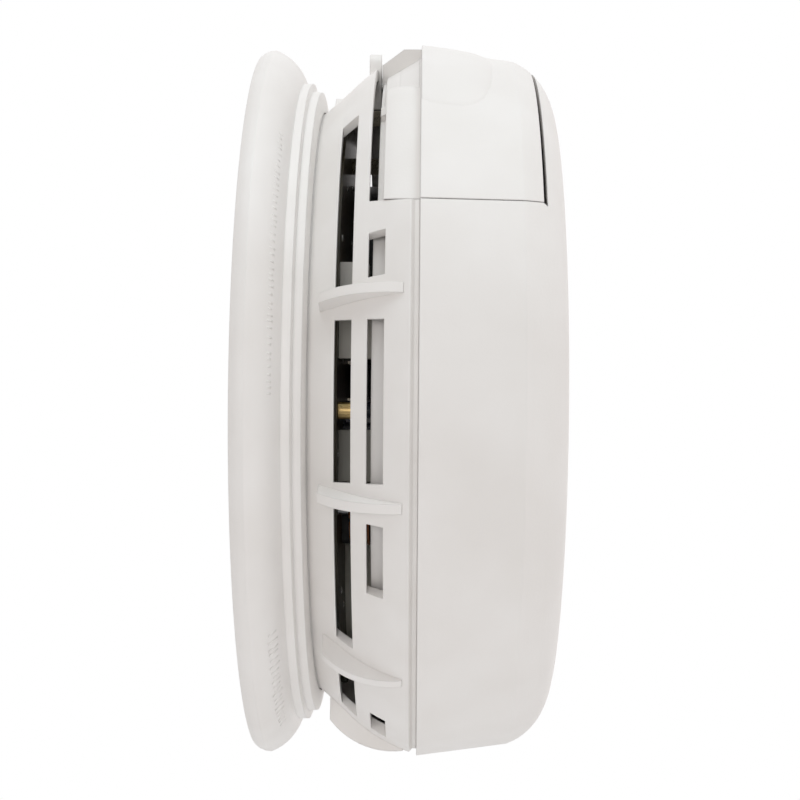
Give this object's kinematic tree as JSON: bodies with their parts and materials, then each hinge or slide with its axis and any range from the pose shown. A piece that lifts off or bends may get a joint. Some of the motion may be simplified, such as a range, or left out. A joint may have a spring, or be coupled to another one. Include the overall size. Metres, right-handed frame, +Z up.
{
  "type": "smoke detector",
  "caption": "Round wall or ceiling smoke alarm: trim-ring bracket, vented base, domed cover, swing-out battery drawer on its side and a push-to-test button.",
  "frame": {"origin": "centre of the bracket's back face, on the wall plane", "axes": "+Z up, the alarm's axis along Y: the bracket's back faces +Y, to the wall, and the cover faces -Y; -X is the battery drawer's side"},
  "size_m": [0.1422, 0.0575, 0.1422],
  "materials": {
    "battery_wrap": "printed film wrap, left plain",
    "black_plastic": "satin epoxy",
    "blue_varnish": "dipped varnish",
    "brass": "satin",
    "capacitor_sleeve": "shrink sleeve",
    "ceramic": "sintered ceramic",
    "circuit_board": "paper phenolic laminate with solder resist",
    "clear_acrylic": "polished",
    "green_lamp": "tinted epoxy",
    "grey_plastic": "satin",
    "nickel": "bright",
    "stainless_steel": "satin",
    "tan_varnish": "dipped varnish",
    "tinned_bronze": "bright plated",
    "white_nylon": "satin nylon",
    "white_plastic_smooth": "satin moulded ABS, smooth",
    "white_plastic_textured": "fine spark-eroded moulded ABS",
    "zinc_steel": "zinc plated"
  },
  "bodies": {
    "bracket": {"mounting_bracket": "white_plastic_smooth"},
    "alarm": {"base_housing": "white_plastic_smooth", "battery_contact_negative": "tinned_bronze", "battery_contact_positive": "tinned_bronze", "board_screws": "zinc_steel", "chamber_base": "black_plastic", "chamber_cover": "stainless_steel", "chamber_insulator": "black_plastic", "chip_pins": "tinned_bronze", "circuit_board": "circuit_board", "collector_plate": "stainless_steel", "controller_chip": "black_plastic", "diodes": "black_plastic", "drawer_hinge_pin": "stainless_steel", "dropper_capacitor": "grey_plastic", "electrolytic_capacitors": "capacitor_sleeve", "front_cover": "white_plastic_textured", "horn_cap": "white_nylon", "horn_contacts": "tinned_bronze", "horn_cup": "white_nylon", "horn_inductor": "black_plastic", "horn_transistor": "black_plastic", "indicator_lamp": "green_lamp", "indicator_lens": "clear_acrylic", "mains_pins": "tinned_bronze", "mains_socket": "white_nylon", "piezo_ceramic": "ceramic", "piezo_disc": "brass", "resistors": "tan_varnish", "snubber_capacitor": "tan_varnish", "source_foil": "brass", "source_holder": "brass", "supply_relay": "white_nylon", "surge_varistor": "blue_varnish", "test_switch_anvil": "grey_plastic", "test_switch_blade": "tinned_bronze", "wire_eyelets": "brass"},
    "battery_drawer_body": {"battery_drawer": "white_plastic_textured", "battery": "battery_wrap", "battery_terminal_positive": "nickel", "battery_terminal_negative": "nickel"},
    "test_button_body": {"test_button": "white_plastic_textured"}
  },
  "joints": [
    {"name": "twist_lock", "type": "hinge", "parent": "bracket", "child": "alarm", "pos_m": [0, 0, 0], "axis": [0, -1, 0], "range_deg": [0, 12]},
    {"name": "drawer_hinge", "type": "hinge", "parent": "alarm", "child": "battery_drawer_body", "pos_m": [-0.00446, 0, 0.06384], "axis": [0, 1, 0], "range_deg": [0, 60]},
    {"name": "test_press", "type": "slide", "parent": "alarm", "child": "test_button_body", "axis": [0, 1, 0], "range_m": [0, 0.0012], "stiffness_N_per_m": 2500, "springref_m": -0.0006}
  ]
}
